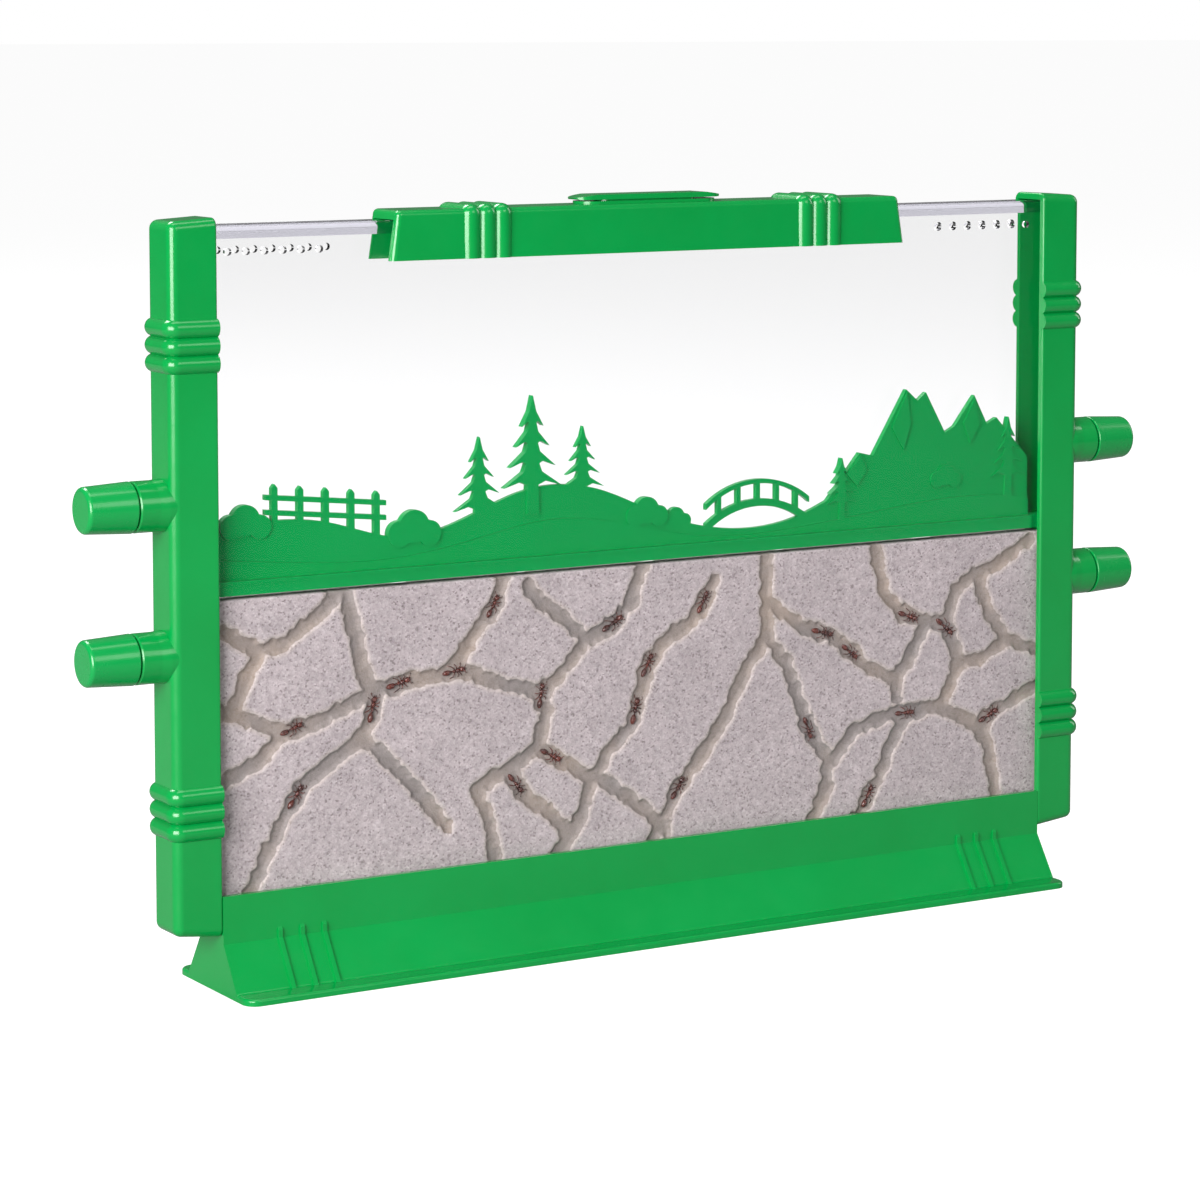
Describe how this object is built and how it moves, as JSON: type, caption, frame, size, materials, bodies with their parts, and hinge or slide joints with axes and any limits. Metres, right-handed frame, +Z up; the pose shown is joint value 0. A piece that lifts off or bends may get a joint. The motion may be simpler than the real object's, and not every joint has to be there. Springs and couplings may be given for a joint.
{
  "type": "ant habitat",
  "caption": "Desktop ant habitat: a slim clear upright tank of sand and tunnels in a green moulded frame with a flared stand, a lift-off lid and capped side ports.",
  "frame": {"origin": "on the table, under the middle of the habitat", "axes": "+X towards the viewer's right along the window, -Y towards the viewer, +Z up"},
  "size_m": [0.2906, 0.0378, 0.1777],
  "materials": {
    "green_plastic": "glossy",
    "clear_plastic": "clear glossy",
    "landscape_green": "glossy",
    "lid_green": "glossy",
    "cap_green": "glossy",
    "sand": "rough, granular",
    "ant_brown": "satin"
  },
  "bodies": {
    "habitat": {"base_stand": "green_plastic", "left_post": "green_plastic", "right_post": "green_plastic", "front_panel": "clear_plastic", "rear_panel": "clear_plastic", "left_top_strip": "clear_plastic", "right_top_strip": "clear_plastic", "landscape_insert": "landscape_green", "sand_fill": "sand", "ants": "ant_brown"},
    "lid": {"lid": "lid_green"},
    "feeding_hatch": {"feeding_hatch": "lid_green"},
    "left_upper_port_cap": {"left_upper_port_cap": "cap_green"},
    "left_lower_port_cap": {"left_lower_port_cap": "cap_green"},
    "right_upper_port_cap": {"right_upper_port_cap": "cap_green"},
    "right_lower_port_cap": {"right_lower_port_cap": "cap_green"}
  },
  "joints": [
    {"name": "lid_lift", "type": "slide", "parent": "habitat", "child": "lid", "axis": [0, 0, 1], "range_m": [0, 0.04]},
    {"name": "feeding_hatch_lift", "type": "slide", "parent": "lid", "child": "feeding_hatch", "axis": [0, 0, 1], "range_m": [0, 0.02]},
    {"name": "left_upper_cap_pull", "type": "slide", "parent": "habitat", "child": "left_upper_port_cap", "axis": [-1, 0, 0], "range_m": [0, 0.02]},
    {"name": "left_lower_cap_pull", "type": "slide", "parent": "habitat", "child": "left_lower_port_cap", "axis": [-1, 0, 0], "range_m": [0, 0.02]},
    {"name": "right_upper_cap_pull", "type": "slide", "parent": "habitat", "child": "right_upper_port_cap", "axis": [1, 0, 0], "range_m": [0, 0.02]},
    {"name": "right_lower_cap_pull", "type": "slide", "parent": "habitat", "child": "right_lower_port_cap", "axis": [1, 0, 0], "range_m": [0, 0.02]}
  ]
}
